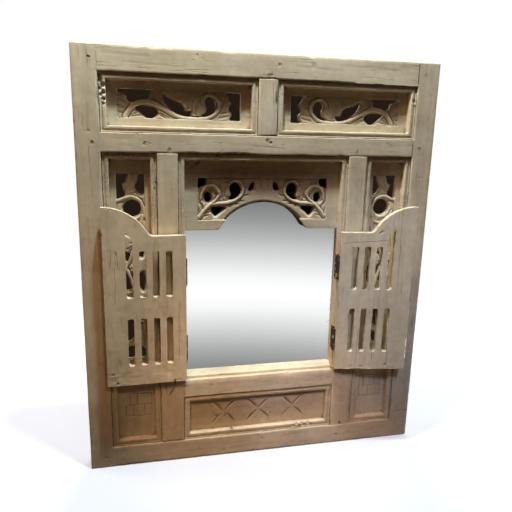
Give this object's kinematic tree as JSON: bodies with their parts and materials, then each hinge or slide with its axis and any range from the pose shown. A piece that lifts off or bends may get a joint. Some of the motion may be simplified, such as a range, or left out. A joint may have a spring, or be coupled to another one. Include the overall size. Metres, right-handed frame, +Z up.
{
  "type": "shutter mirror",
  "caption": "Wall mirror in a painted, carved wood frame with pierced scroll panels, an arched head and slotted shutters that hinge over the glass.",
  "frame": {"origin": "middle of the flat back face, which rests on the wall", "axes": "+X to the viewer's right, +Y into the wall, +Z up; the shutters are at the front, on -Y"},
  "size_m": [0.8, 0.1058, 0.934],
  "materials": {
    "painted_frame": "worn chalk paint over brown wood",
    "painted_panels": "worn chalk paint over brown wood",
    "painted_shutters": "worn chalk paint over brown wood",
    "mirror_glass": "polished, silvered at the back",
    "backboard": "bare plywood",
    "hinge_iron": "dull, brown with rust",
    "hinge_screws": "dull",
    "bright_steel": "zinc"
  },
  "bodies": {
    "frame": {"stile_left": "painted_frame", "stile_right": "painted_frame", "top_rail": "painted_frame", "transom_rail": "painted_frame", "sill_rail": "painted_frame", "bottom_rail": "painted_frame", "mullion": "painted_frame", "upright_left": "painted_frame", "upright_right": "painted_frame", "joint_pegs": "painted_frame", "top_panel_left": "painted_panels", "top_panel_right": "painted_panels", "side_panel_left": "painted_panels", "side_panel_right": "painted_panels", "arch_panel": "painted_panels", "bottom_panel": "painted_panels", "top_bay_beads_left": "painted_frame", "top_bay_beads_right": "painted_frame", "side_bay_beads_left": "painted_frame", "side_bay_beads_right": "painted_frame", "bottom_bay_beads": "painted_frame", "arch_top_bead": "painted_frame", "jamb_bead_left": "painted_frame", "jamb_bead_right": "painted_frame", "mirror_glass": "mirror_glass", "backboard": "backboard", "backboard_screws": "bright_steel", "hanging_plate_left": "bright_steel", "hanging_plate_right": "bright_steel", "hanging_plate_screws": "bright_steel", "frame_leaf_upper_left": "hinge_iron", "frame_leaf_lower_left": "hinge_iron", "frame_leaf_upper_right": "hinge_iron", "frame_leaf_lower_right": "hinge_iron", "hinge_pin_upper_left": "hinge_iron", "hinge_pin_lower_left": "hinge_iron", "hinge_pin_upper_right": "hinge_iron", "hinge_pin_lower_right": "hinge_iron", "frame_leaf_screws_left": "hinge_screws", "frame_leaf_screws_right": "hinge_screws"},
    "left_shutter": {"shutter_left": "painted_shutters", "shutter_leaf_upper_left": "hinge_iron", "shutter_leaf_lower_left": "hinge_iron", "shutter_leaf_screws_left": "hinge_screws"},
    "right_shutter": {"shutter_right": "painted_shutters", "shutter_leaf_upper_right": "hinge_iron", "shutter_leaf_lower_right": "hinge_iron", "shutter_leaf_screws_right": "hinge_screws"}
  },
  "joints": [
    {"name": "left_shutter_hinge", "type": "hinge", "parent": "frame", "child": "left_shutter", "pos_m": [-0.178, -0.058, -0.09], "axis": [0, 0, 1], "range_deg": [-1, 179]},
    {"name": "right_shutter_hinge", "type": "hinge", "parent": "frame", "child": "right_shutter", "pos_m": [0.178, -0.058, -0.09], "axis": [0, 0, -1], "range_deg": [-9.5, 170.5]}
  ]
}
